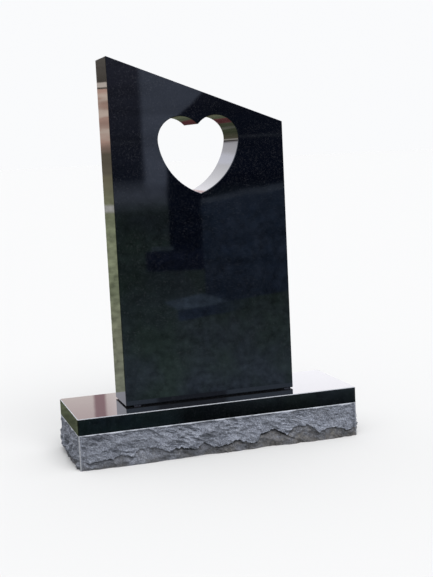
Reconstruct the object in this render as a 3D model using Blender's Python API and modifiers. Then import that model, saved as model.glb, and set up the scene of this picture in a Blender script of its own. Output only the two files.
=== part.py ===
"""Headstone: a polished black granite tablet with a slanted top and a heart cut through it, on a base.

Metres, +Z up. The origin is the middle of the base's underside, -Y is the front, and -X is the side
where the tablet is high.
"""

import math
import random

import bmesh
import bpy
from mathutils import Matrix, Vector, noise

# Base: one block, polished on top and round the band, rock-pitched below the band
BASE_LENGTH = 0.914
BASE_DEPTH = 0.320
BASE_HEIGHT = 0.161
BAND_HEIGHT = 0.051
BASE_ARRIS = 0.002
CORNER_CHAMFER = 0.003

# Tablet: one slab with a straight slanted top, set a little to the left of the base's middle
TABLET_WIDTH = 0.559
TABLET_THICKNESS = 0.152
TABLET_LEFT_HEIGHT = 1.080
TABLET_RIGHT_HEIGHT = 0.863
TABLET_ARRIS = 0.002
TABLET_SHIFT = -0.007

# Heart: two round lobes, two long side arcs that meet in a point, and a soft cleft
LOBE_RADIUS = 0.0725
LOBE_SPREAD = 0.0575
LOBE_TURN = math.radians(8.5)
HEART_DROP = 0.168
HEART_COVER = 0.049
CLEFT_RADIUS = 0.004
TIP_RADIUS = 0.003
ARC_STEP = math.radians(7.5)

# Setting joint: a bed of compound, set back from the edges, and four spacers that carry the tablet
JOINT_HEIGHT = 0.0032
BED_SETBACK = 0.008
SPACER_SIZE = 0.022
SPACER_SETBACK = 0.002
SPACER_FROM_LEFT = 0.037
SPACER_FROM_RIGHT = 0.019
SPACER_BACK_INSET = 0.030
SPACER_ARRIS = 0.0004
CONTACT_GAP = 0.0003
BED_CLEARANCE = 0.001

# Rock pitching: how far each side swells past the band, and the forms broken into it
SIDES = ("front", "right", "back", "left")
SWELL = {"front": 0.015, "right": 0.021, "back": 0.015, "left": 0.013}
SWELL_SHARE = 0.68
CORNER_FADE = 0.026
LIP_OUT = 0.004
LIP_SHARE = 0.04
LEDGE_SHARE = 0.24
LEDGE_WAVE_SHARE = 0.05
LEDGE_STEP_SHARE = 0.04
LEDGE_UNDERCUT = 0.006
FOOT_SETBACK = 0.004
WAVE_LENGTH = 0.090
GRID = 0.0115
ROCK_SEED = 7

# Arched bites that the ledge takes out of the front, each as middle, half width, rise above the
# ledge and depth of its undercut; the middle and half width are shares of the base's length
FRONT_BITES = (
    (-0.362, 0.034, 0.07, 0.004),
    (-0.262, 0.056, 0.22, 0.003),
    (-0.150, 0.064, 0.07, 0.010),
    (-0.070, 0.034, 0.10, 0.009),
    (0.048, 0.030, 0.09, 0.007),
    (0.176, 0.058, 0.25, 0.010),
    (0.288, 0.062, 0.27, 0.005),
    (0.395, 0.054, 0.10, 0.004),
)
BITE_FULLNESS = 0.75
BITE_WANDER = 0.009
BITE_WANDER_LENGTH = 0.036

# Broad spalls: one a pitch along each side, with their half width and depth
SPALL_PITCH = 0.034
SPALL_HALF_WIDTH = 0.036
SPALL_DEPTH = 0.0085

ROCK_HEIGHT = BASE_HEIGHT - BAND_HEIGHT
TABLET_FOOT = BASE_HEIGHT + JOINT_HEIGHT


def fresh_collections():
    """Empty the scene and make one collection for the headstone and one for its cutters."""
    for thing in list(bpy.data.objects):
        bpy.data.objects.remove(thing, do_unlink=True)
    made = []
    for name in ("heart_headstone", "cutters"):
        group = bpy.data.collections.new(name)
        bpy.context.scene.collection.children.link(group)
        made.append(group)
    return made


def material(name, colour, roughness, metallic=0.0):
    made = bpy.data.materials.new(name)
    made.use_nodes = True
    shader = made.node_tree.nodes["Principled BSDF"]
    shader.inputs["Base Color"].default_value = (*colour, 1.0)
    shader.inputs["Roughness"].default_value = roughness
    shader.inputs["Metallic"].default_value = metallic
    made.diffuse_color = (*colour, 1.0)
    return made


def object_from(bm, name, group, *materials):
    """Turn a bmesh into a named object in a collection."""
    mesh = bpy.data.meshes.new(name)
    bmesh.ops.recalc_face_normals(bm, faces=bm.faces)
    bm.to_mesh(mesh)
    bm.free()
    for each in materials:
        mesh.materials.append(each)
    made = bpy.data.objects.new(name, mesh)
    group.objects.link(made)
    return made


def block(size):
    """A box of the given size about the origin."""
    bm = bmesh.new()
    bmesh.ops.create_cube(bm, size=1.0)
    bmesh.ops.scale(bm, vec=Vector(size), verts=bm.verts)
    return bm


def as_cutter(thing):
    thing.hide_render = True
    thing.display_type = "WIRE"


def cut(thing, cutter):
    step = thing.modifiers.new("cut " + cutter.name, "BOOLEAN")
    step.operation = "DIFFERENCE"
    step.solver = "EXACT"
    step.object = cutter


def ease_edges(thing, width):
    """Take a small flat arris off every sharp edge."""
    step = thing.modifiers.new("arris", "BEVEL")
    step.width = width
    step.segments = 1
    step.limit_method = "ANGLE"
    step.angle_limit = math.radians(40)


# Heart


def arc(centre, radius, start, end):
    """Points along an arc, both ends included."""
    count = max(2, math.ceil(abs(end - start) / ARC_STEP))
    angles = [start + (end - start) * k / count for k in range(count + 1)]
    return [(centre[0] + radius * math.cos(a), centre[1] + radius * math.sin(a)) for a in angles]


def heart_outline():
    """The heart about the middle between its lobe centres, from the cleft round by the left lobe."""
    lobe = (-LOBE_SPREAD, 0.0)
    end = math.pi + LOBE_TURN
    join = Vector((lobe[0] + LOBE_RADIUS * math.cos(end), lobe[1] + LOBE_RADIUS * math.sin(end)))
    inward = (Vector(lobe) - join).normalized()
    to_tip = Vector((0.0, -HEART_DROP)) - join
    side_radius = to_tip.length_squared / (2 * to_tip.dot(inward))
    side = join + inward * side_radius

    cleft_z = math.sqrt((LOBE_RADIUS + CLEFT_RADIUS) ** 2 - LOBE_SPREAD**2)
    cleft_angle = math.atan2(cleft_z, LOBE_SPREAD)
    tip_z = side.y - math.sqrt((side_radius - TIP_RADIUS) ** 2 - side.x**2)
    tip_angle = math.atan2(tip_z - side.y, -side.x)

    half = arc((0.0, cleft_z), CLEFT_RADIUS, -math.pi / 2, cleft_angle - math.pi)
    half += arc(lobe, LOBE_RADIUS, cleft_angle, end)[1:]
    half += arc(side, side_radius, end - 2 * math.pi, tip_angle)[1:]
    half += arc((0.0, tip_z), TIP_RADIUS, tip_angle, -math.pi / 2)[1:]
    return half + [(-x, z) for x, z in half[-2:0:-1]]


def heart_height():
    """Height of the lobe centres above the tablet's foot, so that the cover over the right lobe holds."""
    slope = (TABLET_LEFT_HEIGHT - TABLET_RIGHT_HEIGHT) / TABLET_WIDTH
    middle = (TABLET_LEFT_HEIGHT + TABLET_RIGHT_HEIGHT) / 2
    square = math.hypot(1.0, slope)
    return middle - abs(slope) * LOBE_SPREAD - (HEART_COVER + LOBE_RADIUS) * square


def heart_cutter(group):
    """The heart as a closed prism, upright, long enough to run past both faces."""
    curve = bpy.data.curves.new("heart outline", "CURVE")
    curve.dimensions = "2D"
    curve.fill_mode = "BOTH"
    curve.extrude = TABLET_THICKNESS
    points = heart_outline()
    spline = curve.splines.new("POLY")
    spline.points.add(len(points) - 1)
    for point, (x, z) in zip(spline.points, points):
        point.co = (x, z, 0.0, 1.0)
    spline.use_cyclic_u = True
    guide = bpy.data.objects.new("heart outline", curve)
    group.objects.link(guide)
    guide.location = (TABLET_SHIFT, 0.0, TABLET_FOOT + heart_height())
    guide.rotation_euler = (math.pi / 2, 0.0, 0.0)
    bpy.context.view_layer.update()

    mesh = bpy.data.meshes.new_from_object(guide.evaluated_get(bpy.context.evaluated_depsgraph_get()))
    bm = bmesh.new()
    bm.from_mesh(mesh)
    bmesh.ops.remove_doubles(bm, verts=bm.verts, dist=1e-5)
    bmesh.ops.recalc_face_normals(bm, faces=bm.faces)
    bm.to_mesh(mesh)
    bm.free()
    cutter = bpy.data.objects.new("heart cutter", mesh)
    cutter.matrix_world = guide.matrix_world.copy()
    group.objects.link(cutter)
    bpy.data.objects.remove(guide, do_unlink=True)
    as_cutter(cutter)
    return cutter


def tablet(group, cutters, stone):
    """The slab, with its top slanted down to the right, the heart cut through and its edges eased."""
    bm = block((TABLET_WIDTH, TABLET_THICKNESS, TABLET_LEFT_HEIGHT))
    bmesh.ops.translate(bm, vec=(0.0, 0.0, TABLET_LEFT_HEIGHT / 2), verts=bm.verts)
    for vert in bm.verts:
        if vert.co.z > 0 and vert.co.x > 0:
            vert.co.z = TABLET_RIGHT_HEIGHT
    made = object_from(bm, "tablet", group, stone)
    made.location = (TABLET_SHIFT, 0.0, TABLET_FOOT)
    cut(made, heart_cutter(cutters))
    ease_edges(made, TABLET_ARRIS)
    return made


# Rock-pitched sides of the base


def smooth_step(low, high, value):
    share = min(1.0, max(0.0, (value - low) / (high - low)))
    return share * share * (3.0 - 2.0 * share)


def side_length(side):
    return BASE_LENGTH if side in ("front", "back") else BASE_DEPTH


def spalls(side):
    """Broad dished flakes along one side: middle, height share, half sizes, tilt and depth."""
    draw = random.Random(f"{ROCK_SEED} {side}")
    length = side_length(side)
    count = max(3, round(length / SPALL_PITCH))
    made = []
    for k in range(count):
        middle = length * ((k + draw.random()) / count - 0.5)
        height = draw.uniform(0.30, 1.0)
        half_width = SPALL_HALF_WIDTH * draw.uniform(0.7, 1.6)
        half_height = half_width * draw.uniform(0.4, 0.8)
        tilt = draw.uniform(-0.7, 0.2)
        depth = SPALL_DEPTH * draw.uniform(0.5, 1.0)
        made.append((middle, height, half_width, half_height, tilt, depth))
    return made


def spall_depth(flakes, along, height):
    """How deep the deepest of the flakes is at one place."""
    deepest = 0.0
    for middle, share, half_width, half_height, tilt, depth in flakes:
        dx, dz = along - middle, height - share * ROCK_HEIGHT
        u = (dx * math.cos(tilt) + dz * math.sin(tilt)) / half_width
        v = (dz * math.cos(tilt) - dx * math.sin(tilt)) / half_height
        deepest = max(deepest, depth * (1.0 - u * u - v * v))
    return deepest


def ledge_form(side, along):
    """Height and undercut of the ledge that runs round the foot, with the arched bites of the front."""
    wave = noise.noise(Vector((along / WAVE_LENGTH, SIDES.index(side) * 5.0, 0.5)))
    rise, undercut = LEDGE_WAVE_SHARE * wave, LEDGE_UNDERCUT
    place = along + BITE_WANDER * noise.noise(Vector((along / BITE_WANDER_LENGTH, 0.0, 3.5)))
    for middle, half_width, height, depth in FRONT_BITES if side == "front" else ():
        reach = (place - middle * BASE_LENGTH) / (half_width * BASE_LENGTH)
        if abs(reach) < 1.0:
            arch = (1.0 - reach * reach) ** BITE_FULLNESS
            rise = max(rise, height * arch)
            undercut += (depth - LEDGE_UNDERCUT) * arch
    return (LEDGE_SHARE + rise) * ROCK_HEIGHT, undercut


def relief(side, flakes, along, height):
    """How far the broken face stands out past the band's plane at one place."""
    down = 1.0 - height / ROCK_HEIGHT
    lip = LIP_OUT * smooth_step(0.0, LIP_SHARE, down)
    swell = (SWELL[side] - LIP_OUT) * smooth_step(0.0, SWELL_SHARE, down)
    wave = noise.noise(Vector((along / WAVE_LENGTH, height / WAVE_LENGTH, SIDES.index(side) * 9.0)))
    swell *= 1.0 + 0.5 * wave
    out = lip + swell - spall_depth(flakes, along, height) * smooth_step(0.0, 0.10, down)
    ledge, undercut = ledge_form(side, along)
    below = 1.0 - smooth_step(ledge - LEDGE_STEP_SHARE * ROCK_HEIGHT, ledge, height)
    return max(out, lip * 0.3) - below * (undercut + FOOT_SETBACK * (1.0 - height / ledge))


def rock_levels():
    """Heights at which the broken sides are cut into rows, with the ledge's lip and root among them."""
    lip = (1.0 - LIP_SHARE) * ROCK_HEIGHT
    ledge = LEDGE_SHARE * ROCK_HEIGHT
    root = ledge - LEDGE_STEP_SHARE * ROCK_HEIGHT
    above = max(2, math.ceil((lip - ledge) / GRID))
    below = max(2, math.ceil(root / GRID))
    levels = [ROCK_HEIGHT, lip]
    levels += [lip + (ledge - lip) * k / above for k in range(1, above + 1)]
    levels += [root * (1 - k / below) for k in range(below)]
    return levels


def cut_rows(bm):
    for level in rock_levels():
        everything = bm.verts[:] + bm.edges[:] + bm.faces[:]
        bmesh.ops.bisect_plane(bm, geom=everything, plane_co=(0, 0, level), plane_no=(0, 0, 1))


def cut_columns(bm, axis, length):
    """Cut the broken faces that run along one axis into columns."""
    across = 1 - axis
    count = max(2, round((length - 2 * CORNER_CHAMFER) / GRID))
    normal = Vector((0, 0, 0))
    normal[axis] = 1.0
    for k in range(1, count):
        place = Vector((0, 0, 0))
        place[axis] = (length / 2 - CORNER_CHAMFER) * (2 * k / count - 1)
        faces = [f for f in bm.faces if abs(f.normal[across]) > 0.9 and is_rock(f)]
        edges = {e for f in faces for e in f.edges}
        verts = {v for f in faces for v in f.verts}
        bmesh.ops.bisect_plane(bm, geom=[*verts, *edges, *faces], plane_co=place, plane_no=normal)


def is_rock(face):
    return max(v.co.z for v in face.verts) < ROCK_HEIGHT + 1e-5 and abs(face.normal.z) < 0.9


def side_of(place):
    """The side that a point of the block's outer surface lies on, or None on a corner chamfer."""
    if abs(place.y) > BASE_DEPTH / 2 - 1e-5:
        return "front" if place.y < 0 else "back"
    if abs(place.x) > BASE_LENGTH / 2 - 1e-5:
        return "right" if place.x > 0 else "left"
    return None


def follow_ledge(level, ledge):
    """Slide a level up or down so that the row of the ledge follows it, and the rest share the change."""
    plain = LEDGE_SHARE * ROCK_HEIGHT
    step = LEDGE_STEP_SHARE * ROCK_HEIGHT
    if level >= plain:
        return ledge + (level - plain) * (ROCK_HEIGHT - ledge) / (ROCK_HEIGHT - plain)
    return level * (ledge - step) / (plain - step) if level <= plain - step else ledge


def break_sides(bm):
    """Push the rows and columns of each side out to its broken face."""
    flakes = {side: spalls(side) for side in SIDES}
    outward = {"front": (0, -1, 0), "right": (1, 0, 0), "back": (0, 1, 0), "left": (-1, 0, 0)}
    for vert in bm.verts:
        side = side_of(vert.co)
        if side is None or vert.co.z > ROCK_HEIGHT - 1e-5:
            continue
        along = vert.co.x if side in ("front", "back") else vert.co.y
        to_corner = side_length(side) / 2 - CORNER_CHAMFER - abs(along)
        fade = smooth_step(0.0, CORNER_FADE, to_corner)
        plain = LEDGE_SHARE * ROCK_HEIGHT
        ledge = plain + (ledge_form(side, along)[0] - plain) * fade
        height = follow_ledge(vert.co.z, ledge)
        out = relief(side, flakes[side], along, height) * fade
        vert.co += Vector(outward[side]) * out
        vert.co.z = height


def base(group, polished, broken):
    """The block: corners chamfered, top arris eased, sides below the band broken."""
    bm = block((BASE_LENGTH, BASE_DEPTH, BASE_HEIGHT))
    bmesh.ops.translate(bm, vec=(0.0, 0.0, BASE_HEIGHT / 2), verts=bm.verts)
    upright = [e for e in bm.edges if abs(e.verts[0].co.z - e.verts[1].co.z) > BASE_HEIGHT / 2]
    bmesh.ops.bevel(bm, geom=upright, offset=CORNER_CHAMFER, segments=1, affect="EDGES")
    rim = [e for e in bm.edges if min(v.co.z for v in e.verts) > BASE_HEIGHT - 1e-5]
    bmesh.ops.bevel(bm, geom=rim, offset=BASE_ARRIS, segments=1, affect="EDGES")
    cut_rows(bm)
    bm.normal_update()
    cut_columns(bm, 0, BASE_LENGTH)
    cut_columns(bm, 1, BASE_DEPTH)
    for face in bm.faces:
        face.material_index = 1 if is_rock(face) else 0
    break_sides(bm)
    return object_from(bm, "base", group, polished, broken)


# Setting joint


def spacer_places():
    """Middle of each spacer under the tablet, by name."""
    half = TABLET_WIDTH / 2
    edge = SPACER_SETBACK + SPACER_SIZE / 2
    front, back = edge - TABLET_THICKNESS / 2, TABLET_THICKNESS / 2 - edge
    return {
        "spacer_front_left": (TABLET_SHIFT - half + SPACER_FROM_LEFT, front),
        "spacer_front_right": (TABLET_SHIFT + half - SPACER_FROM_RIGHT, front),
        "spacer_back_left": (TABLET_SHIFT - half + SPACER_BACK_INSET, back),
        "spacer_back_right": (TABLET_SHIFT + half - SPACER_BACK_INSET, back),
    }


def joint_block(size, place, name, group, *materials):
    """A flat block that fills the joint's height, less the gap under and over it."""
    bm = block((*size, JOINT_HEIGHT - 2 * CONTACT_GAP))
    made = object_from(bm, name, group, *materials)
    made.location = (*place, BASE_HEIGHT + JOINT_HEIGHT / 2)
    return made


def setting_bed(group, cutters, compound):
    """The bed, set back from the tablet's edges and notched round each spacer."""
    size = (TABLET_WIDTH - 2 * BED_SETBACK, TABLET_THICKNESS - 2 * BED_SETBACK)
    made = joint_block(size, (TABLET_SHIFT, 0.0), "setting_bed", group, compound)
    notch = SPACER_SIZE + 2 * BED_CLEARANCE
    for name, place in spacer_places().items():
        bm = block((notch, notch, 3 * JOINT_HEIGHT))
        cutter = object_from(bm, "notch " + name, cutters)
        cutter.location = (*place, BASE_HEIGHT + JOINT_HEIGHT / 2)
        as_cutter(cutter)
        cut(made, cutter)
    return made


def spacers(group, plastic):
    for name, place in spacer_places().items():
        made = joint_block((SPACER_SIZE, SPACER_SIZE), place, name, group, plastic)
        ease_edges(made, SPACER_ARRIS)


def build():
    group, cutters = fresh_collections()
    polished = material("polished black granite", (0.012, 0.013, 0.016), 0.05)
    tablet_stone = material("polished black granite of the tablet", (0.012, 0.013, 0.016), 0.04)
    broken = material("broken granite", (0.16, 0.17, 0.19), 0.85)
    compound = material("setting compound", (0.02, 0.02, 0.024), 0.9)
    plastic = material("grey spacer plastic", (0.12, 0.12, 0.14), 0.5)
    base(group, polished, broken)
    tablet(group, cutters, tablet_stone)
    setting_bed(group, cutters, compound)
    spacers(group, plastic)


build()
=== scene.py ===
"""The looks of the heart headstone: polished black granite, broken granite, a soft studio and the camera.

Metres, +Z up, in the same frame as the CAD: the origin is the middle of the base's underside, -Y the front.
"""

import math
import random

import bmesh
import bpy
import numpy as np
from mathutils import Matrix, Vector, noise


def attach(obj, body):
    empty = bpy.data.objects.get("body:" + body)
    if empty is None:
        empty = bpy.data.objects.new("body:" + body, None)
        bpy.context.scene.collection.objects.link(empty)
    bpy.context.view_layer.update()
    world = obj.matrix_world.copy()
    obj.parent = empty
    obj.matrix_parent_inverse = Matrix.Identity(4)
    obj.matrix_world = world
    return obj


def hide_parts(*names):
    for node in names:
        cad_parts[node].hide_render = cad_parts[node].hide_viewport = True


# Sizes of the stones, as in the CAD
BASE_LENGTH = 0.914
BASE_DEPTH = 0.320
BASE_HEIGHT = 0.161
BAND_HEIGHT = 0.051
BASE_ARRIS = 0.002
CORNER_CHAMFER = 0.003
CHAMFER_MITRE = math.tan(math.pi / 8)
TABLET_WIDTH = 0.559
TABLET_THICKNESS = 0.152
TABLET_LEFT_HEIGHT = 1.080
TABLET_RIGHT_HEIGHT = 0.863
TABLET_ARRIS = 0.002
TABLET_SHIFT = -0.007
JOINT_HEIGHT = 0.0032
LOBE_RADIUS = 0.0725
LOBE_SPREAD = 0.0575
LOBE_TURN = math.radians(8.5)
HEART_DROP = 0.168
HEART_COVER = 0.049
CLEFT_RADIUS = 0.004
TIP_RADIUS = 0.003
ARC_STEP = math.radians(1.5)
TABLET_FOOT = BASE_HEIGHT + JOINT_HEIGHT
ROCK_HEIGHT = BASE_HEIGHT - BAND_HEIGHT

# Rock pitching, as in the CAD, with a slightly fuller left side
SIDES = ("front", "right", "back", "left")
LONG_SIDES = ("front", "back")
SWELL = {"front": 0.015, "right": 0.021, "back": 0.015, "left": 0.018}
SWELL_SHARE = 0.68
SWELL_WANDER = 0.5
LEAST_LIP = 0.3
CORNER_FADE = 0.026
LIP_OUT = 0.004
LIP_SHARE = 0.04
LEDGE_SHARE = 0.24
LEDGE_WAVE_SHARE = 0.05
LEDGE_STEP_SHARE = 0.04
LEDGE_UNDERCUT = 0.006
FOOT_SETBACK = 0.004
LEDGE_STEP_BULGE = 0.0012
WAVE_LENGTH = 0.090
ROCK_SEED = 7

# Arched bites of the front: middle and half width over the length, height over the rock's, depth
FRONT_BITES = (
    (-0.362, 0.034, 0.07, 0.004),
    (-0.262, 0.056, 0.22, 0.003),
    (-0.150, 0.064, 0.07, 0.010),
    (-0.070, 0.034, 0.10, 0.009),
    (0.048, 0.030, 0.09, 0.007),
    (0.176, 0.058, 0.25, 0.010),
    (0.288, 0.062, 0.27, 0.005),
    (0.395, 0.054, 0.10, 0.004),
)
BITE_FULLNESS = 0.75
BITE_WANDER = 0.009
BITE_WANDER_LENGTH = 0.036
SPALL_PITCH = 0.034
SPALL_HALF_WIDTH = 0.036
SPALL_DEPTH = 0.0085
SPALL_FADE_SHARE = 0.10
FLAKE_REACH = 1.05

# Finer breaks that only the looks have
ROCK_GRID = 0.0018
STEP_ROWS = 6
SHELLS = ((0.034, 3, 0.027, 0.0062), (0.015, 7, 0.012, 0.0032))  # pitch, rows, half width, depth
SHELL_SHARPNESS = 0.5
STREAKS = ((0.052, 0.016, 0.32, 0.0042), (0.020, 0.007, 0.15, 0.0026))  # length, breadth, tilt, height
STREAK_BEND = 0.45
STREAK_BEND_LENGTH = 0.05
STREAK_AMOUNT = 0.65
STREAK_AMOUNT_SWING = 1.5
STREAK_AMOUNT_LIMITS = (0.12, 1.5)
STREAK_PATCH = (0.07, 0.04)
STREAK_CREST = 0.35
STREAK_FALL = 2.0
GRAIN_PITCH = 0.0045
GRAIN_DEPTH = 0.0008
LEDGE_JAGS = ((0.026, 0.0052), (0.011, 0.0036), (0.005, 0.0018))  # length, height
TUCK_SHARE = 0.7
# Painted shade under the ledge: how far it reaches below the step, the undercut that gives it full strength,
# and its most
LEDGE_SHADE_REACH = 0.0035
LEDGE_SHADE_UNDERCUT = 0.008
LEDGE_SHADE_MOST = 1.2
FINE_FADE = 0.008
FINE_FADE_SHARE = 0.06
FINE_AMOUNT = {"front": 1.0, "right": 1.0, "back": 1.0, "left": 1.45}

# How the meshes are made: rows in the arris, and the angles from which edges are eased or sharp
ARRIS_ROWS = 3
EASED_FROM = math.radians(40)
TABLET_SHARP_FROM = math.radians(12)
ROCK_SHARP_FROM = math.radians(48)

# The three finishes of the base, in the order of its materials
POLISHED, PALE_EDGE, BROKEN = range(3)

# Granite
GRANITE_IOR = 1.5
STROKE_STRETCH = 3.2
# How far below the band the painted highlight along the lip reaches, least and most
LIP_HIGHLIGHT_LEAST = 0.0013
LIP_HIGHLIGHT_MOST = 0.0031

# Camera, fitted to the photograph: place, turn to the right, tilt down and roll
CAMERA_PLACE = (-0.99878, -3.42720, 0.95251)
CAMERA_YAW = 0.29720
CAMERA_PITCH = 0.12536
CAMERA_ROLL = 0.04948
FOCAL_PX = 1113.66
FRAME_LONG_PX = 577
SENSOR = 36.0

# Studio
BACKDROP = (0.955, 0.962, 0.975)
FLOOR_COLOUR = (0.66, 0.658, 0.648)
FLOOR_THROWN = (0.38, 0.38, 0.37)
FLOOR_RADIUS = 90.0
KEY_FROM = (0.02, -0.85, 1.25)
KEY_STRENGTH = 2.2
KEY_SPREAD = math.radians(50.0)
BLOCK_LEAN = 0.0012 / math.radians(1.0)

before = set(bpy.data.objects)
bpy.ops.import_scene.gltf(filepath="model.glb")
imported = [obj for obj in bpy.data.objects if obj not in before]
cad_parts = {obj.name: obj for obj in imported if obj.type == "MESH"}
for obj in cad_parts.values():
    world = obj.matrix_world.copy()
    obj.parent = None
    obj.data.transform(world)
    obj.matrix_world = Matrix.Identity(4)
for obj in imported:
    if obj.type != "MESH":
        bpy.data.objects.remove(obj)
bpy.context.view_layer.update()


# Shader nodes


class Tree:
    """Adds nodes to a shader tree. A node's input may be a value or another node's output."""

    def __init__(self, tree):
        self.tree = tree

    def add(self, kind, inputs=(), output=0, **settings):
        made = self.tree.nodes.new(kind)
        for name, value in settings.items():
            setattr(made, name, value)
        pairs = inputs.items() if isinstance(inputs, dict) else enumerate(inputs)
        for key, value in pairs:
            if isinstance(value, bpy.types.NodeSocket):
                self.tree.links.new(value, made.inputs[key])
            elif value is not None:
                made.inputs[key].default_value = value
        return made.outputs[output]

    def split(self, vector):
        made = self.tree.nodes.new("ShaderNodeSeparateXYZ")
        self.tree.links.new(vector, made.inputs[0])
        return tuple(made.outputs)

    def math(self, operation, *values):
        return self.add("ShaderNodeMath", values, operation=operation)

    def noise(self, place, scale, detail=3.0, roughness=0.5, distortion=0.0):
        values = {"Vector": place, "Scale": scale, "Detail": detail}
        values.update({"Roughness": roughness, "Distortion": distortion})
        return self.add("ShaderNodeTexNoise", values)

    def cells(self, place, scale):
        """A random grey for each crystal."""
        colour = self.add("ShaderNodeTexVoronoi", {"Vector": place, "Scale": scale}, output="Color")
        return self.add("ShaderNodeSeparateColor", (colour,))

    def ramp(self, factor, stops):
        """A colour ramp. Each stop is a place and a grey or a colour."""
        made = self.tree.nodes.new("ShaderNodeValToRGB")
        while len(made.color_ramp.elements) < len(stops):
            made.color_ramp.elements.new(0.5)
        for element, (place, colour) in zip(made.color_ramp.elements, stops):
            element.position = place
            rgb = colour if isinstance(colour, tuple) else (colour,) * 3
            element.color = (*rgb, 1.0)
        self.tree.links.new(factor, made.inputs[0])
        return made.outputs[0]

    def mix(self, factor, first, second, blend="MIX"):
        made = self.tree.nodes.new("ShaderNodeMix")
        made.data_type = "RGBA"
        made.blend_type = blend
        for socket, value in zip((made.inputs[0], made.inputs[6], made.inputs[7]), (factor, first, second)):
            if isinstance(value, bpy.types.NodeSocket):
                self.tree.links.new(value, socket)
            else:
                socket.default_value = value if isinstance(value, (int, float)) else (*value, 1.0)
        return made.outputs[2]

    def tinted(self, colour, tone):
        """The colour multiplied by a tone."""
        return self.mix(1.0, colour, tone, "MULTIPLY")

    def product(self, *factors):
        """Values or masks multiplied together."""
        made = factors[0]
        for factor in factors[1:]:
            made = self.math("MULTIPLY", made, factor)
        return made

    def range(self, value, low, high, out_low=0.0, out_high=1.0):
        return self.add("ShaderNodeMapRange", (value, low, high, out_low, out_high), clamp=True)

    def bump(self, height, distance, strength, normal=None):
        values = {"Height": height, "Distance": distance, "Strength": strength, "Normal": normal}
        return self.add("ShaderNodeBump", values)

    def surface(self, colour, roughness, normal=None, **constants):
        """The Principled shader, with the values that don't vary set on its own sockets."""
        shader = self.tree.nodes["Principled BSDF"]
        for name, value in (("Base Color", colour), ("Roughness", roughness), ("Normal", normal)):
            if isinstance(value, bpy.types.NodeSocket):
                self.tree.links.new(value, shader.inputs[name])
            elif value is not None:
                shader.inputs[name].default_value = value
        for name, value in constants.items():
            shader.inputs[name.replace("_", " ")].default_value = value


def new_material(name):
    made = bpy.data.materials.new(name)
    made.use_nodes = True
    return made, Tree(made.node_tree)


def object_place(tree):
    return tree.add("ShaderNodeTexCoord", output="Object")


def polished_granite():
    """Black granite with a mirror polish: tight dark crystals, rare pale flecks and a little dust."""
    made, tree = new_material("polished_black_granite")
    place = object_place(tree)
    crystal = tree.cells(place, 760.0)
    dark = tree.ramp(crystal, [(0.0, (0.0001, 0.0001, 0.0002)), (0.50, (0.0002, 0.0003, 0.0004)),
                               (0.80, (0.0007, 0.0008, 0.0011)), (0.97, (0.0032, 0.0035, 0.0043))])
    fleck = tree.ramp(tree.cells(place, 1500.0), [(0.988, 0.0), (1.0, 1.0)])
    colour = tree.mix(fleck, dark, (0.034, 0.036, 0.042))
    cloud = tree.range(tree.noise(place, 120.0, detail=5.0, roughness=0.7), 0.36, 0.64, 0.30, 2.0)
    colour = tree.tinted(colour, cloud)
    grain = tree.range(tree.noise(place, 175.0, detail=4.0, roughness=0.85), 0.55, 0.68)
    patch = tree.range(tree.noise(place, 6.5, detail=4.0, roughness=0.6), 0.42, 0.66, 0.25, 1.6)
    upper = tree.range(tree.split(place)[2], 0.85, 1.22, 1.0, 2.8)
    facing_up = tree.split(tree.add("ShaderNodeNewGeometry", output="Normal"))[2]
    lying = tree.range(facing_up, 0.5, 0.95, 0.0, 0.27)
    dust = tree.math("ADD", tree.product(grain, patch, upper), lying)
    colour = tree.mix(dust, colour, (0.0150, 0.0152, 0.0168))
    haze = tree.noise(place, 7.0, detail=4.0, roughness=0.6)
    roughness = tree.range(haze, 0.35, 0.75, 0.012, 0.034)
    wave = tree.noise(place, 9.0, detail=1.0)
    normal = tree.bump(wave, 0.0006, 0.12)
    tree.surface(colour, roughness, normal, IOR=GRANITE_IOR)
    return made


def pale_edge_granite():
    """Pale edges. On the base's top arris the pale grey is a painted highlight, in place of the sky the
    polish would mirror; the corner strips of the broken sides are pale too.
    """
    made, tree = new_material("pale_edge_and_arris_highlight")
    place = object_place(tree)
    crystal = tree.cells(place, 700.0)
    colour = tree.ramp(crystal, [(0.0, (0.26, 0.27, 0.29)), (1.0, (0.46, 0.47, 0.50))])
    roughness = tree.range(tree.noise(place, 60.0), 0.3, 0.7, 0.25, 0.45)
    normal = tree.bump(tree.noise(place, 900.0, detail=2.0), 0.0002, 0.5)
    tree.surface(colour, roughness, normal, IOR=GRANITE_IOR)
    return made


def leaning(tree, place, lean):
    """The place squeezed in height and leaning along the sides, so that a noise read there makes strokes."""
    x, y, z = tree.split(place)
    up = tree.math("ADD", z, tree.math("MULTIPLY", tree.math("ADD", x, y), lean))
    return tree.add("ShaderNodeCombineXYZ", (x, y, tree.math("MULTIPLY", up, STROKE_STRETCH)))


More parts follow.
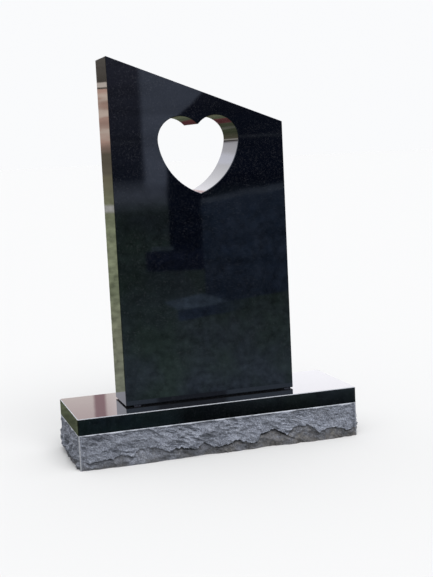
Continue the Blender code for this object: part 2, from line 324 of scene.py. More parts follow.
def broken_granite():
    """Rock-pitched granite: blue-grey and crystalline, with soil below the ledge, and painted highlights and
    shade on its ridges, hollows, small facets, lip, ledge and foot.
    """
    made, tree = new_material("broken_granite")
    place = object_place(tree)
    x, _, height = tree.split(place)
    colour = tree.ramp(tree.cells(place, 560.0), [
        (0.0, (0.105, 0.112, 0.134)), (0.45, (0.150, 0.162, 0.192)), (0.8, (0.190, 0.204, 0.240)),
        (0.97, (0.27, 0.285, 0.33))])
    speck = tree.noise(place, 360.0, detail=4.0, roughness=0.75)
    speck = tree.ramp(speck, [(0.36, 0.48), (0.5, 1.0), (0.66, 1.52)])
    mottle = tree.range(tree.noise(place, 34.0, detail=5.0, roughness=0.62), 0.32, 0.68, 0.74, 1.24)
    broad = tree.range(tree.noise(place, 7.0, detail=2.0), 0.35, 0.65, 0.94, 1.18)
    # painted highlight on the ridges and painted shade in the hollows, from how pointed the surface is
    pointed = tree.add("ShaderNodeNewGeometry", output="Pointiness")
    ridge_highlight_hollow_shade = tree.ramp(pointed, [(0.40, 0.40), (0.49, 1.0), (0.52, 1.05), (0.60, 1.8)])
    for tone in (speck, mottle, broad, ridge_highlight_hollow_shade):
        colour = tree.tinted(colour, tone)

    # fine pale strokes, painted highlights of small facets that face the light, and dark lines across them,
    # painted shade under small facets
    facet_light_noise = tree.noise(leaning(tree, place, 0.45), 42.0, detail=3.0, roughness=0.6, distortion=0.7)
    facet_highlight = tree.ramp(facet_light_noise, [(0.455, 0.0), (0.497, 1.0), (0.503, 1.0), (0.545, 0.0)])
    patch = tree.range(tree.noise(place, 31.0, detail=2.0), 0.44, 0.60)
    colour = tree.mix(tree.product(facet_highlight, patch, 0.65), colour, (0.36, 0.38, 0.43))
    split = tree.noise(leaning(tree, place, -0.25), 34.0, detail=3.0, roughness=0.6, distortion=0.9)
    facet_shade = tree.ramp(split, [(0.478, 0.0), (0.498, 1.0), (0.502, 1.0), (0.522, 0.0)])
    patch = tree.range(tree.noise(place, 23.0, detail=2.0), 0.48, 0.62)
    colour = tree.mix(tree.product(facet_shade, patch, 0.80), colour, (0.030, 0.032, 0.040))

    # soil clings below the ledge, more to the right, and a ragged painted shade darkens the foot
    ragged = tree.noise(place, 22.0, detail=5.0, roughness=0.65)
    soil = tree.add("ShaderNodeAttribute", output="Fac", attribute_name="soil")
    rightward = tree.range(x, -0.25, 0.12, 0.45, 1.0)
    stain = tree.product(soil, tree.range(ragged, 0.38, 0.62, 0.30, 0.85), rightward)
    earth = tree.ramp(tree.noise(place, 95.0, detail=5.0, roughness=0.75), [
        (0.36, (0.045, 0.040, 0.036)), (0.52, (0.125, 0.116, 0.106)), (0.66, (0.235, 0.215, 0.185))])
    colour = tree.mix(stain, colour, earth)
    # painted shade right under the ledge, stronger where the undercut is deep
    ledge_shade = tree.add("ShaderNodeAttribute", output="Fac", attribute_name="ledge_shade")
    ledge_shade = tree.product(ledge_shade, tree.range(tree.noise(place, 20.0), 0.40, 0.58, 0.20, 1.0))
    colour = tree.mix(ledge_shade, colour, (0.012, 0.011, 0.011))
    # painted shade along the foot, ragged, darkest at the ground
    foot = tree.product(tree.range(height, 0.016, 0.0), tree.range(ragged, 0.30, 0.55), 0.6)
    colour = tree.mix(foot, colour, (0.060, 0.052, 0.042))

    # a pale line right under the band: painted highlight where the lip's edge catches the light
    reach = tree.range(ragged, 0.30, 0.60, ROCK_HEIGHT - LIP_HIGHLIGHT_LEAST, ROCK_HEIGHT - LIP_HIGHLIGHT_MOST)
    lip_highlight = tree.math("GREATER_THAN", height, reach)
    lip_highlight = tree.product(lip_highlight, tree.range(ragged, 0.30, 0.50, 0.35, 0.95))
    colour = tree.mix(lip_highlight, colour, (0.50, 0.52, 0.57))

    glint = tree.ramp(tree.cells(place, 830.0), [(0.955, 0.0), (0.97, 1.0)])
    roughness = tree.range(glint, 0.0, 1.0, 0.82, 0.34)
    broken = tree.bump(tree.noise(place, 130.0, detail=6.0, roughness=0.72), 0.0050, 0.8)
    pits = tree.add("ShaderNodeTexVoronoi", {"Vector": place, "Scale": 300.0})
    normal = tree.bump(pits, 0.0014, 0.7, broken)
    tree.surface(colour, roughness, normal, IOR=GRANITE_IOR)
    return made


def setting_compound():
    made, tree = new_material("setting_compound")
    place = object_place(tree)
    grain = tree.noise(place, 320.0, detail=4.0)
    colour = tree.ramp(grain, [(0.3, (0.008, 0.008, 0.010)), (0.7, (0.022, 0.022, 0.026))])
    tree.surface(colour, 0.85, tree.bump(grain, 0.0006, 0.7))
    return made


def spacer_plastic():
    made, tree = new_material("spacer_plastic")
    place = object_place(tree)
    grain = tree.noise(place, 240.0, detail=3.0)
    colour = tree.ramp(grain, [(0.3, (0.036, 0.037, 0.052)), (0.7, (0.070, 0.071, 0.092))])
    tree.surface(colour, tree.range(grain, 0.3, 0.7, 0.4, 0.6), tree.bump(grain, 0.0002, 0.5))
    return made


# Tablet


def arc(centre, radius, start, end):
    """Points along an arc, both ends included."""
    count = max(2, math.ceil(abs(end - start) / ARC_STEP))
    angles = [start + (end - start) * k / count for k in range(count + 1)]
    return [(centre[0] + radius * math.cos(a), centre[1] + radius * math.sin(a)) for a in angles]


def heart_outline():
    """The heart about the middle between its lobe centres, from the cleft round by the left lobe."""
    lobe = (-LOBE_SPREAD, 0.0)
    end = math.pi + LOBE_TURN
    join = Vector((lobe[0] + LOBE_RADIUS * math.cos(end), lobe[1] + LOBE_RADIUS * math.sin(end)))
    inward = (Vector(lobe) - join).normalized()
    to_tip = Vector((0.0, -HEART_DROP)) - join
    side_radius = to_tip.length_squared / (2 * to_tip.dot(inward))
    side = join + inward * side_radius

    cleft_z = math.sqrt((LOBE_RADIUS + CLEFT_RADIUS) ** 2 - LOBE_SPREAD**2)
    cleft_angle = math.atan2(cleft_z, LOBE_SPREAD)
    tip_z = side.y - math.sqrt((side_radius - TIP_RADIUS) ** 2 - side.x**2)
    tip_angle = math.atan2(tip_z - side.y, -side.x)

    half = arc((0.0, cleft_z), CLEFT_RADIUS, -math.pi / 2, cleft_angle - math.pi)
    half += arc(lobe, LOBE_RADIUS, cleft_angle, end)[1:]
    half += arc(side, side_radius, end - 2 * math.pi, tip_angle)[1:]
    half += arc((0.0, tip_z), TIP_RADIUS, tip_angle, -math.pi / 2)[1:]
    return half + [(-x, z) for x, z in half[-2:0:-1]]


def heart_height():
    """Height of the lobe centres above the tablet's foot."""
    slope = (TABLET_LEFT_HEIGHT - TABLET_RIGHT_HEIGHT) / TABLET_WIDTH
    middle = (TABLET_LEFT_HEIGHT + TABLET_RIGHT_HEIGHT) / 2
    return middle - slope * LOBE_SPREAD - (HEART_COVER + LOBE_RADIUS) * math.hypot(1.0, slope)


def object_from(bm, name, *materials):
    mesh = bpy.data.meshes.new(name)
    bmesh.ops.recalc_face_normals(bm, faces=bm.faces)
    bm.to_mesh(mesh)
    bm.free()
    for each in materials:
        mesh.materials.append(each)
    made = bpy.data.objects.new(name, mesh)
    bpy.context.scene.collection.objects.link(made)
    return made


def apply_modifiers(thing):
    graph = bpy.context.evaluated_depsgraph_get()
    mesh = bpy.data.meshes.new_from_object(thing.evaluated_get(graph), depsgraph=graph)
    thing.modifiers.clear()
    thing.data = mesh


def heart_prism():
    """The heart as a closed prism that runs past both faces of the tablet."""
    bm = bmesh.new()
    lift = TABLET_FOOT + heart_height()
    outline = [bm.verts.new((x + TABLET_SHIFT, -TABLET_THICKNESS, z + lift)) for x, z in heart_outline()]
    face = bm.faces.new(outline)
    swept = bmesh.ops.extrude_face_region(bm, geom=[face])["geom"]
    moved = [v for v in swept if isinstance(v, bmesh.types.BMVert)]
    bmesh.ops.translate(bm, vec=(0.0, 2 * TABLET_THICKNESS, 0.0), verts=moved)
    return object_from(bm, "heart_prism")


def tablet(polished):
    """The slab with its slanted top, the heart cut through it and its arrises eased."""
    bm = bmesh.new()
    bmesh.ops.create_cube(bm, size=1.0)
    bmesh.ops.scale(bm, vec=(TABLET_WIDTH, TABLET_THICKNESS, TABLET_LEFT_HEIGHT), verts=bm.verts)
    bmesh.ops.translate(bm, vec=(TABLET_SHIFT, 0.0, TABLET_FOOT + TABLET_LEFT_HEIGHT / 2), verts=bm.verts)
    for vert in bm.verts:
        if vert.co.z > TABLET_FOOT + TABLET_LEFT_HEIGHT / 2 and vert.co.x > TABLET_SHIFT:
            vert.co.z = TABLET_FOOT + TABLET_RIGHT_HEIGHT
    made = object_from(bm, "tablet_stone", polished)
    prism = heart_prism()
    step = made.modifiers.new("heart", "BOOLEAN")
    step.operation = "DIFFERENCE"
    step.solver = "EXACT"
    step.object = prism
    step = made.modifiers.new("arris", "BEVEL")
    step.width = TABLET_ARRIS
    step.segments = ARRIS_ROWS
    step.limit_method = "ANGLE"
    step.angle_limit = EASED_FROM
    apply_modifiers(made)
    bpy.data.objects.remove(prism, do_unlink=True)
    made.data.shade_smooth()
    made.data.set_sharp_from_angle(angle=TABLET_SHARP_FROM)
    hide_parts("tablet")
    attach(made, "root")


# Base


def smooth_step(low, high, value):
    share = np.clip((value - low) / (high - low), 0.0, 1.0)
    return share * share * (3.0 - 2.0 * share)


def side_length(side):
    return BASE_LENGTH if side in LONG_SIDES else BASE_DEPTH


def side_distance(side):
    """How far the side's plane lies from the middle of the block."""
    return (BASE_DEPTH if side in LONG_SIDES else BASE_LENGTH) / 2


def waves(x, y, z):
    """Smooth noise from -1 to 1 at many places. Another z gives another noise."""
    x, y = np.broadcast_arrays(x, y)
    values = [noise.noise((a, b, z)) for a, b in zip(x.ravel().tolist(), y.ravel().tolist())]
    return np.array(values).reshape(x.shape)


def spalls(side):
    """The broad dished flakes of the CAD: middle, height, half sizes, tilt and depth."""
    draw = random.Random(f"{ROCK_SEED} {side}")
    length = side_length(side)
    count = max(3, round(length / SPALL_PITCH))
    made = []
    for k in range(count):
        middle = length * ((k + draw.random()) / count - 0.5)
        height = draw.uniform(0.30, 1.0) * ROCK_HEIGHT
        half_width = SPALL_HALF_WIDTH * draw.uniform(0.7, 1.6)
        half_height = half_width * draw.uniform(0.4, 0.8)
        tilt = draw.uniform(-0.7, 0.2)
        depth = SPALL_DEPTH * draw.uniform(0.5, 1.0)
        made.append((middle, height, half_width, half_height, tilt, depth))
    return made


def shells(side, pitch, rows, half_width, depth):
    """Smaller flakes all over one side."""
    draw = random.Random(f"{ROCK_SEED} {side} {rows}")
    length = side_length(side)
    count = round(length / pitch)
    made = []
    for k in range(count):
        for row in range(rows):
            middle = length * ((k + draw.random()) / count - 0.5)
            height = ROCK_HEIGHT * (row + draw.random()) / rows
            wide = half_width * draw.uniform(0.6, 1.5)
            high = wide * draw.uniform(0.35, 0.8)
            made.append((middle, height, wide, high, draw.uniform(-0.9, 0.3), depth * draw.uniform(0.3, 1.0)))
    return made


def flake_depth(flakes, along, height, sharpness=1.0):
    """How deep the deepest flake is at each place. A sharpness below 1 gives a flake a steep rim."""
    along = np.broadcast_to(along, height.shape)
    deepest = np.zeros_like(height)
    for middle, level, half_width, half_height, tilt, depth in flakes:
        near = np.abs(along[0] - middle) < FLAKE_REACH * max(half_width, half_height)
        dx, dz = along[:, near] - middle, height[:, near] - level
        u = (dx * math.cos(tilt) + dz * math.sin(tilt)) / half_width
        v = (dz * math.cos(tilt) - dx * math.sin(tilt)) / half_height
        dish = np.clip(1.0 - u * u - v * v, 0.0, 1.0) ** sharpness
        deepest[:, near] = np.maximum(deepest[:, near], depth * dish)
    return deepest


def ledge_form(side, along):
    """Height and undercut of the ledge that runs round the foot, with the arched bites of the front."""
    rise = LEDGE_WAVE_SHARE * waves(along / WAVE_LENGTH, SIDES.index(side) * 5.0, 0.5)
    undercut = np.full_like(rise, LEDGE_UNDERCUT)
    place = along + BITE_WANDER * waves(along / BITE_WANDER_LENGTH, 0.0, 3.5)
    for middle, half_width, height, depth in FRONT_BITES if side == "front" else ():
        reach = (place - middle * BASE_LENGTH) / (half_width * BASE_LENGTH)
        arch = np.clip(1.0 - reach * reach, 0.0, 1.0) ** BITE_FULLNESS
        rise = np.where(arch > 0.0, np.maximum(rise, height * arch), rise)
        undercut += (depth - LEDGE_UNDERCUT) * arch
    return (LEDGE_SHARE + rise) * ROCK_HEIGHT, undercut


def relief(side, along, height, ledge, undercut, under):
    """How far the broken face stands out past the band's plane. under is 0 above the ledge, 1 below it."""
    index = SIDES.index(side)
    down = 1.0 - height / ROCK_HEIGHT
    lip = LIP_OUT * smooth_step(0.0, LIP_SHARE, down)
    swell = (SWELL[side] - LIP_OUT) * smooth_step(0.0, SWELL_SHARE, down)
    swell = swell * (1.0 + SWELL_WANDER * waves(along / WAVE_LENGTH, height / WAVE_LENGTH, index * 9.0))
    out = lip + swell - flake_depth(spalls(side), along, height) * smooth_step(0.0, SPALL_FADE_SHARE, down)
    return np.maximum(out, lip * LEAST_LIP) - under * (undercut + FOOT_SETBACK * (1.0 - height / ledge))


def fine_relief(side, along, height):
    """The smaller flakes, streaks and grain on top of the broad form."""
    index = SIDES.index(side)
    out = np.zeros_like(height)
    for size in SHELLS:
        out -= flake_depth(shells(side, *size), along, height, SHELL_SHARPNESS)
    bend = waves(along / STREAK_BEND_LENGTH, height / STREAK_BEND_LENGTH, index * 7.0 + 2.5)
    bend = STREAK_BEND * bend
    patches = waves(along / STREAK_PATCH[0], height / STREAK_PATCH[1], index * 6.0 + 1.5)
    amount = np.clip(STREAK_AMOUNT + STREAK_AMOUNT_SWING * patches, *STREAK_AMOUNT_LIMITS)
    for length, breadth, tilt, rise in STREAKS:
        u = (along * math.cos(tilt) - height * math.sin(tilt)) / length
        v = (height * math.cos(tilt) + along * math.sin(tilt)) / breadth
        crest = np.abs(waves(u, v + bend, index * 3.0 + length * 100))
        out += amount * rise * (STREAK_CREST - STREAK_FALL * crest)
    out += GRAIN_DEPTH * waves(along / GRAIN_PITCH, height / GRAIN_PITCH, index * 3.0 + 0.7)
    return FINE_AMOUNT[side] * out * smooth_step(0.0, FINE_FADE_SHARE, 1.0 - height / ROCK_HEIGHT)


def rock_levels():
    """Rows of the broken sides below the band: each row's level and its share of the step under the ledge."""
    ledge = LEDGE_SHARE * ROCK_HEIGHT
    root = ledge - LEDGE_STEP_SHARE * ROCK_HEIGHT
    above = np.linspace(ROCK_HEIGHT, ledge, round((ROCK_HEIGHT - ledge) / ROCK_GRID) + 1)[1:]
    turned = np.linspace(ledge, root, STEP_ROWS + 1)[1:]
    below = np.linspace(root, 0.0, round(root / ROCK_GRID) + 1)[1:]
    levels = np.concatenate([above, turned, below])
    under = np.clip((ledge - levels) / (ledge - root), 0.0, 1.0)
    return levels[:, None], under[:, None]


def follow_ledge(levels, under, ledge):
    """Slide the rows so that the ledge's row follows it. The step's rows tuck in under its edge."""
    plain = LEDGE_SHARE * ROCK_HEIGHT
    step = LEDGE_STEP_SHARE * ROCK_HEIGHT
    above = ledge + (levels - plain) * (ROCK_HEIGHT - ledge) / (ROCK_HEIGHT - plain)
    tucked = ledge - step * under**3 + LEDGE_STEP_BULGE * np.sin(math.pi * under)
    below = levels * (ledge - step) / (plain - step)
    return np.where(under == 0.0, above, np.where(under < 1.0, tucked, below))


def side_run(side):
    """Places along one side, in the order that goes round the block, and its directions in plan."""
    turns = {
        "front": ((1, 0), (0, -1)),
        "right": ((0, 1), (1, 0)),
        "back": ((-1, 0), (0, 1)),
        "left": ((0, -1), (-1, 0)),
    }
    half = side_length(side) / 2 - CORNER_CHAMFER
    run = np.linspace(-half, half, round(2 * half / ROCK_GRID) + 1)
    return run, half, *map(np.array, turns[side])


def plan_ring(inset):
    """The block's outline in plan at one inset, as points. Its chamfered corners are mitred."""
    points = []
    for side in SIDES:
        run, half, ahead, out = side_run(side)
        shrink = (half - inset * CHAMFER_MITRE) / half
        points.append(np.outer(run * shrink, ahead) + out * (side_distance(side) - inset))
    return np.concatenate(points)


def broken_sides():
    """The rows of the broken sides, from under the band down to the ground: points, soil and ledge shadow."""
    levels, under = rock_levels()
    blocks, soil, ledge_shade = [], [], []
    for side in SIDES:
        run, half, ahead, out = side_run(side)
        along = run if side in ("front", "right") else -run
        edge = half - np.abs(run)
        fade = smooth_step(0.0, CORNER_FADE, edge)
        plain = LEDGE_SHARE * ROCK_HEIGHT
        jag = sum(depth * waves(along / length, SIDES.index(side) * 4.0, 4.4) for length, depth in LEDGE_JAGS)
        ledge, undercut = ledge_form(side, along)
        ledge = plain + (ledge - plain) * fade + jag * smooth_step(0.0, FINE_FADE, edge)
        height = follow_ledge(levels, under, ledge)
        tuck = smooth_step(0.0, TUCK_SHARE, under) * np.ones_like(height)
        offset = relief(side, along, height, ledge, undercut, tuck) * fade
        offset += fine_relief(side, along, height) * smooth_step(0.0, FINE_FADE, edge)
        plan = np.outer(run, ahead) + out * side_distance(side)
        points = plan[None, :, :] + offset[:, :, None] * out
        blocks.append(np.dstack([points, height]))
        soil.append(tuck)
        # painted shade under the ledge: deeper undercuts darker, fading below the step's root
        root = ledge - LEDGE_STEP_SHARE * ROCK_HEIGHT
        depth = np.clip(undercut * fade / LEDGE_SHADE_UNDERCUT, 0.0, LEDGE_SHADE_MOST)
        ledge_shade.append(tuck * np.exp(-np.clip(root - height, 0.0, 1.0) / LEDGE_SHADE_REACH) * depth)
    return [np.concatenate(each, axis=1) for each in (blocks, soil, ledge_shade)]


def base(polished, pale_edge, broken):
    """The block as rings of points: the polished top, its eased arris, the band and the broken sides."""
    turns = [k * math.pi / (2 * ARRIS_ROWS) for k in range(ARRIS_ROWS + 1)]
    outlines = [(BASE_ARRIS * (1 - math.sin(a)), BASE_HEIGHT - BASE_ARRIS * (1 - math.cos(a))) for a in turns]
    outlines.append((0.0, ROCK_HEIGHT))
    rings = []
    for inset, level in outlines:
        plan = plan_ring(inset)
        rings.append(np.column_stack([plan, np.full(len(plan), level)]))
    rock, *marks = broken_sides()
    soil, ledge_shade = (np.concatenate([np.zeros((len(rings), mark.shape[1])), mark]) for mark in marks)
    rings = np.concatenate([np.array(rings), rock])
    corners = np.cumsum([len(side_run(side)[0]) for side in SIDES]) - 1

    bm = bmesh.new()
    soil_layer = bm.verts.layers.float.new("soil")
    # a layer for the painted shade under the ledge
    ledge_shade_layer = bm.verts.layers.float.new("ledge_shade")
    verts = []
    for points, soils, ledge_shades in zip(rings.tolist(), soil.tolist(), ledge_shade.tolist()):
        row = [bm.verts.new(p) for p in points]
        for vert, dirt, shadow in zip(row, soils, ledge_shades):
            vert[soil_layer] = dirt
            vert[ledge_shade_layer] = shadow
        verts.append(row)
    count = len(verts[0])
    for row, (upper, lower) in enumerate(zip(verts, verts[1:])):
        for k in range(count):
            after = (k + 1) % count
            face = bm.faces.new((upper[k], lower[k], lower[after], upper[after]))
            at_corner = k in corners
            if row == ARRIS_ROWS:
                face.material_index = POLISHED
            # the top arris and the corner strips take the pale edge; on the arris its paleness is a painted
            # highlight
            elif row < ARRIS_ROWS or at_corner:
                face.material_index = PALE_EDGE
            else:
                face.material_index = BROKEN
            face.smooth = row > ARRIS_ROWS and not at_corner
    bm.faces.new(verts[0])
    bm.faces.new(verts[-1]).material_index = BROKEN
    for edge in bm.edges:
        if len(edge.link_faces) == 2:
            flat = not all(face.smooth for face in edge.link_faces)
            edge.smooth = not flat and edge.calc_face_angle() < ROCK_SHARP_FROM
    made = object_from(bm, "base_stone", polished, pale_edge, broken)
    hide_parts("base")
    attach(made, "root")


# Joint


def joint(compound, plastic):
    """The bed and the spacers keep their CAD shape."""
    finishes = {"setting_bed": compound}
    finishes.update({name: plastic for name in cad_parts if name.startswith("spacer_")})
    for name, finish in finishes.items():
        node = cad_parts[name]
        node.data.materials.clear()
        node.data.materials.append(finish)


# Studio


class View(Tree):
    """The world's shader tree, with masks over directions.

    The rise goes from 0 straight down to 1 straight up, and the turn goes about +Z from +Y.
    """

    def __init__(self, tree):
        super().__init__(tree)
        self.toward = self.add("ShaderNodeTexCoord", output="Generated")
        x, y, self.up = self.split(self.toward)
        self.rise = self.range(self.up, -1.0, 1.0)
        self.turn = self.math("ARCTAN2", x, y)
        self.flat = self.add("ShaderNodeMapping", {"Vector": self.toward, "Scale": (3.0, 3.0, 26.0)})

    def between(self, value, low, high, soft):
        """1 between two values, with soft edges."""
        up = self.range(value, low - soft, low + soft)
        down = self.range(value, high - soft, high + soft, 1.0, 0.0)
        return self.product(up, down)

    def rising(self, low, high, soft):
        """1 between two rises, with soft edges."""
        return self.between(self.rise, low, high, soft)

    def across(self, low, high, soft):
        """1 between two turns in degrees, with soft edges."""
        return self.between(self.turn, math.radians(low), math.radians(high), math.radians(soft))

    def turning(self, low, high):
        """From 0 at the first turn to 1 at the second, in degrees."""
        return self.range(self.turn, math.radians(low), math.radians(high))

    def past(self, edge, reach):
        """From 0 to 1 as the turn goes past a leaning edge."""
        return self.range(self.math("SUBTRACT", self.turn, edge), 0.0, reach)


def behind_left(view):
    """Behind the stone, to its left: ground, a warm pale band, dusk and a pink sky."""
    rise = view.rise
    colour = view.ramp(rise, [
        (0.0, (0.07, 0.07, 0.06)), (0.36, (0.15, 0.17, 0.11)), (0.455, (0.17, 0.20, 0.12)),
        (0.482, (0.30, 0.27, 0.20)), (0.500, (0.20, 0.17, 0.125)), (0.530, (0.16, 0.14, 0.12)),
        (0.56, (0.26, 0.25, 0.23)), (0.600, (1.64, 1.48, 1.42)), (0.615, (1.40, 1.16, 1.16)),
        (0.62, (1.36, 1.10, 1.12)), (0.66, (1.9, 1.9, 2.0)), (1.0, (2.2, 2.2, 2.3))])
    grain = view.range(view.noise(view.flat, 5.5, detail=2.0), 0.42, 0.58)
    warm = view.mix(grain, (0.86, 0.57, 0.47), (1.14, 0.92, 0.79))
    warm_band = view.product(view.range(rise, 0.4995, 0.5050), view.range(rise, 0.5283, 0.5280))
    colour = view.mix(warm_band, colour, warm)
    colour = view.mix(view.rising(0.5289, 0.5310, 0.0002), colour, (1.20, 1.06, 0.96))

    # nearer, paler ground with a bright strip in it, and a dark block low down
    near = view.across(-13.4, -10.2, 0.5)
    near_ground = view.ramp(rise, [
        (0.380, (0.26, 0.28, 0.22)), (0.40, (0.40, 0.43, 0.33)), (0.42, (0.46, 0.48, 0.34)),
        (0.440, (0.37, 0.42, 0.27)), (0.453, (0.50, 0.55, 0.36)), (0.470, (0.42, 0.47, 0.30)),
        (0.488, (0.33, 0.30, 0.20))])
    colour = view.mix(view.product(near, view.range(rise, 0.491, 0.489)), colour, near_ground)
    strip = view.product(near, view.rising(0.4738, 0.4770, 0.0006))
    colour = view.mix(strip, colour, (0.78, 0.78, 0.75))
    block = view.product(view.across(-4.0, 7.0, 1.2), view.range(rise, 0.372, 0.364))
    colour = view.mix(block, colour, (0.19, 0.065, 0.070))

    # farther left, where the heart's right wall looks: ground, a pale strip, a dark band and lavender sky
    beyond = view.ramp(rise, [
        (0.40, (0.16, 0.17, 0.11)), (0.455, (0.19, 0.20, 0.13)), (0.50, (0.26, 0.25, 0.17)),
        (0.515, (0.34, 0.30, 0.24)), (0.523, (0.95, 0.92, 0.86)), (0.532, (0.95, 0.92, 0.86)),
        (0.538, (0.10, 0.08, 0.07)), (0.549, (0.10, 0.08, 0.07)), (0.557, (1.22, 1.20, 1.29)),
        (0.60, (1.45, 1.43, 1.56))])
    far_left = view.product(view.across(-60.0, -14.9, 0.3), view.rising(0.44, 0.585, 0.008))
    colour = view.mix(far_left, colour, beyond)

    # clear sky up to a leaning edge, a brighter gap at its left and a narrow bar at its right
    edge = view.range(rise, 0.6165, 0.6200, math.radians(8.4), math.radians(9.9))
    clear = view.product(view.range(rise, 0.545, 0.565), view.past(edge, -0.015))
    clear_sky = view.ramp(rise, [(0.56, (1.42, 1.40, 1.52)), (0.68, (2.0, 2.0, 2.1))])
    colour = view.mix(clear, colour, clear_sky)
    gap = view.product(view.range(rise, 0.565, 0.595), view.across(-14.0, -9.5, 0.8))
    colour = view.mix(gap, colour, (1.95, 1.97, 2.22))
    bar = view.product(view.across(10.35, 10.95, 0.08), view.range(rise, 0.57, 0.59))
    return view.mix(bar, colour, (0.70, 0.46, 0.50))


def behind_right(view):
    """Behind the stone, to its right: dark ground and a bright sky."""
    return view.ramp(view.rise, [
        (0.0, (0.12, 0.13, 0.10)), (0.40, (0.18, 0.19, 0.13)), (0.476, (0.07, 0.063, 0.045)),
        (0.50, (0.03, 0.028, 0.02)), (0.51, (0.4, 0.36, 0.34)), (0.56, (2.4, 2.4, 2.5)),
        (0.65, (3.1, 3.05, 3.25)), (1.0, (2.2, 2.2, 2.3))])


def open_ahead(view):
    """Ahead of the stone: bluish ground, dusk and sky, with a thin line along the horizon."""
    rise = view.rise
    left = view.ramp(rise, [
        (0.0, (0.10, 0.13, 0.13)), (0.383, (0.095, 0.165, 0.20)), (0.393, (0.40, 0.56, 0.62)),
        (0.43, (0.20, 0.30, 0.30)), (0.470, (0.16, 0.23, 0.24)), (0.475, (0.16, 0.23, 0.24)),
        (0.479, (0.60, 0.70, 0.95)), (0.483, (0.60, 0.70, 0.95)), (0.487, (0.065, 0.09, 0.17)),
        (0.54, (0.28, 0.30, 0.45)), (0.60, (1.5, 1.9, 2.6)), (1.0, (2.2, 2.2, 2.3))])
    right = view.ramp(rise, [
        (0.0, (0.07, 0.09, 0.09)), (0.385, (0.04, 0.06, 0.07)), (0.395, (0.40, 0.54, 0.64)),
        (0.425, (0.26, 0.36, 0.38)), (0.470, (0.18, 0.26, 0.27)), (0.483, (0.025, 0.042, 0.11)),
        (0.512, (0.05, 0.07, 0.15)), (0.53, (0.14, 0.155, 0.27)), (0.60, (1.5, 1.9, 2.6)),
        (1.0, (2.2, 2.2, 2.3))])
    colour = view.mix(view.across(0.0, 165.2, 0.3), left, right)
    tint = view.range(view.noise(view.toward, 26.0, detail=3.0), 0.38, 0.62)
    tint = view.mix(tint, (0.93, 1.02, 0.90), (1.02, 0.99, 1.14))
    colour = view.mix(view.range(rise, 0.474, 0.470), colour, view.tinted(colour, tint))
    line = view.rising(0.5039, 0.5051, 0.0004)
    colour = view.mix(view.product(line, view.turning(162.4, 161.4)), colour, (0.20, 0.24, 0.34))
    return view.mix(view.product(line, view.turning(166.4, 166.8)), colour, (0.26, 0.30, 0.42))


def blocks_ahead(view, colour):
    """Plain blocks that stand ahead of the stone: a tall pale one, its dark foot and a long low one."""
    rise = view.rise
    edge = view.range(rise, 0.512, 0.528, math.radians(164.8), math.radians(162.6))
    tall = view.product(view.past(edge, math.radians(0.2)), view.across(160.0, 166.35, 0.12),
                        view.range(rise, 0.480, 0.484))
    colour = view.mix(tall, colour, (0.70, 0.82, 1.14))
    shade = view.product(view.across(163.2, 165.25, 0.06), view.range(rise, 0.4535, 0.4545),
                         view.range(rise, 0.500, 0.495))
    colour = view.mix(shade, colour, (0.022, 0.040, 0.105))
    foot = view.product(view.across(163.2, 166.5, 0.05), view.rising(0.4462, 0.4555, 0.0004))
    colour = view.mix(foot, colour, (0.06, 0.085, 0.19))
    foot_edge = view.product(view.across(165.1, 166.2, 0.05), view.rising(0.4556, 0.4573, 0.0003))
    colour = view.mix(foot_edge, colour, (0.26, 0.36, 0.46))

    # the long block, its level edges leaning a little: face, bright top, front below it and a pale slab
    lean = view.math("MULTIPLY", view.math("SUBTRACT", view.turn, math.radians(164.0)), BLOCK_LEAN)
    level = view.math("ADD", rise, lean)
    mottle = view.range(view.noise(view.toward, 60.0, detail=4.0, roughness=0.7), 0.36, 0.64)
    face = view.mix(mottle, (0.11, 0.175, 0.32), (0.18, 0.25, 0.41))
    long = view.across(100.0, 163.55, 0.03)
    colour = view.mix(view.product(long, view.between(level, 0.4296, 0.4775, 0.0003)), colour, face)
    top = view.product(long, view.between(level, 0.4752, 0.4775, 0.0003))
    colour = view.mix(top, colour, (0.30, 0.38, 0.54))
    front = view.product(view.turning(161.0, 163.2), view.across(100.0, 165.0, 0.05),
                         view.between(level, 0.4250, 0.4296, 0.0003))
    colour = view.mix(front, colour, (0.17, 0.25, 0.43))
    slab_from = view.range(rise, 0.4315, 0.4353, math.radians(162.36), math.radians(163.58))
    slab_to = view.range(rise, 0.4283, 0.4330, math.radians(164.94), math.radians(165.7))
    slab = view.product(view.between(level, 0.4296, 0.4350, 0.0003), view.past(slab_from, 0.0015),
                        view.past(slab_to, -0.0015))
    return view.mix(slab, colour, (0.40, 0.56, 0.80))


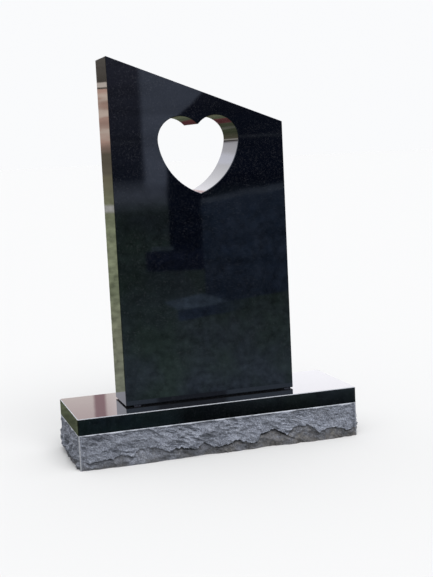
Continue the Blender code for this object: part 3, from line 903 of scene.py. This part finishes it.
def surroundings():
    """Soft light from above, and what the polish mirrors: sky, dusk, plain blocks and a ground."""
    world = bpy.data.worlds.new("studio")
    bpy.context.scene.world = world
    world.use_nodes = True
    view = View(world.node_tree)
    behind = view.mix(view.turning(11.0, 15.0), behind_left(view), behind_right(view))
    ahead = blocks_ahead(view, open_ahead(view))
    far_round = view.math("ABSOLUTE", view.turn)
    mirrored = view.mix(view.range(far_round, math.radians(95.0), math.radians(130.0)), behind, ahead)
    layers = view.range(view.noise(view.flat, 3.0, detail=3.0, roughness=0.6), 0.32, 0.68, 0.80, 1.20)
    mirrored = view.mix(view.range(view.rise, 0.57, 0.54), mirrored, view.tinted(mirrored, layers))
    coarse = view.range(view.noise(view.toward, 170.0, detail=5.0, roughness=0.72), 0.3, 0.7, 0.45, 1.55)
    mirrored = view.mix(view.range(view.up, -0.02, -0.07), mirrored, view.tinted(mirrored, coarse))
    overhead = view.ramp(view.rise, [
        (0.5, (0.34, 0.35, 0.37)), (0.7, (0.66, 0.67, 0.70)), (1.0, (1.15, 1.16, 1.20))])

    lit = view.mix(view.add("ShaderNodeLightPath", output="Is Glossy Ray"), overhead, mirrored)
    seen = view.mix(view.add("ShaderNodeLightPath", output="Is Camera Ray"), lit, BACKDROP)
    background = world.node_tree.nodes["Background"]
    world.node_tree.links.new(seen, background.inputs["Color"])


def soft_key():
    """One broad light from above and the front."""
    light = bpy.data.lights.new("soft_key", "SUN")
    light.energy = KEY_STRENGTH
    light.angle = KEY_SPREAD
    made = bpy.data.objects.new("soft_key", light)
    bpy.context.scene.collection.objects.link(made)
    made.rotation_euler = Vector(KEY_FROM).to_track_quat("Z", "Y").to_euler()
    made.visible_glossy = False


def floor():
    """A plain pale floor. It throws up less light than it shows, and the polish doesn't mirror it."""
    bm = bmesh.new()
    bmesh.ops.create_circle(bm, cap_ends=True, segments=96, radius=FLOOR_RADIUS)
    made, tree = new_material("pale_floor")
    seen = tree.add("ShaderNodeLightPath", output="Is Camera Ray")
    tree.surface(tree.mix(seen, FLOOR_THROWN, FLOOR_COLOUR), 1.0, Specular_IOR_Level=0.0)
    ground = object_from(bm, "floor", made)
    ground.visible_glossy = False


def camera():
    """The photograph's camera. Its lens is set from the focal length in pixels."""
    forward = Vector((math.sin(CAMERA_YAW) * math.cos(CAMERA_PITCH),
                      math.cos(CAMERA_YAW) * math.cos(CAMERA_PITCH), -math.sin(CAMERA_PITCH)))
    level = forward.cross(Vector((0, 0, 1))).normalized()
    down = forward.cross(level)
    right = level * math.cos(CAMERA_ROLL) + down * math.sin(CAMERA_ROLL)
    up = level * math.sin(CAMERA_ROLL) - down * math.cos(CAMERA_ROLL)
    data = bpy.data.cameras.new("camera")
    data.sensor_width = SENSOR
    data.lens = FOCAL_PX * SENSOR / FRAME_LONG_PX
    made = bpy.data.objects.new("camera", data)
    bpy.context.scene.collection.objects.link(made)
    turn = Matrix((right, up, -forward)).transposed()
    made.matrix_world = Matrix.Translation(CAMERA_PLACE) @ turn.to_4x4()
    bpy.context.scene.camera = made


camera()
surroundings()
soft_key()
floor()
polished = polished_granite()
pale_edge = pale_edge_granite()
tablet(polished)
base(polished, pale_edge, broken_granite())
joint(setting_compound(), spacer_plastic())
bpy.context.scene.view_settings.view_transform = "Standard"
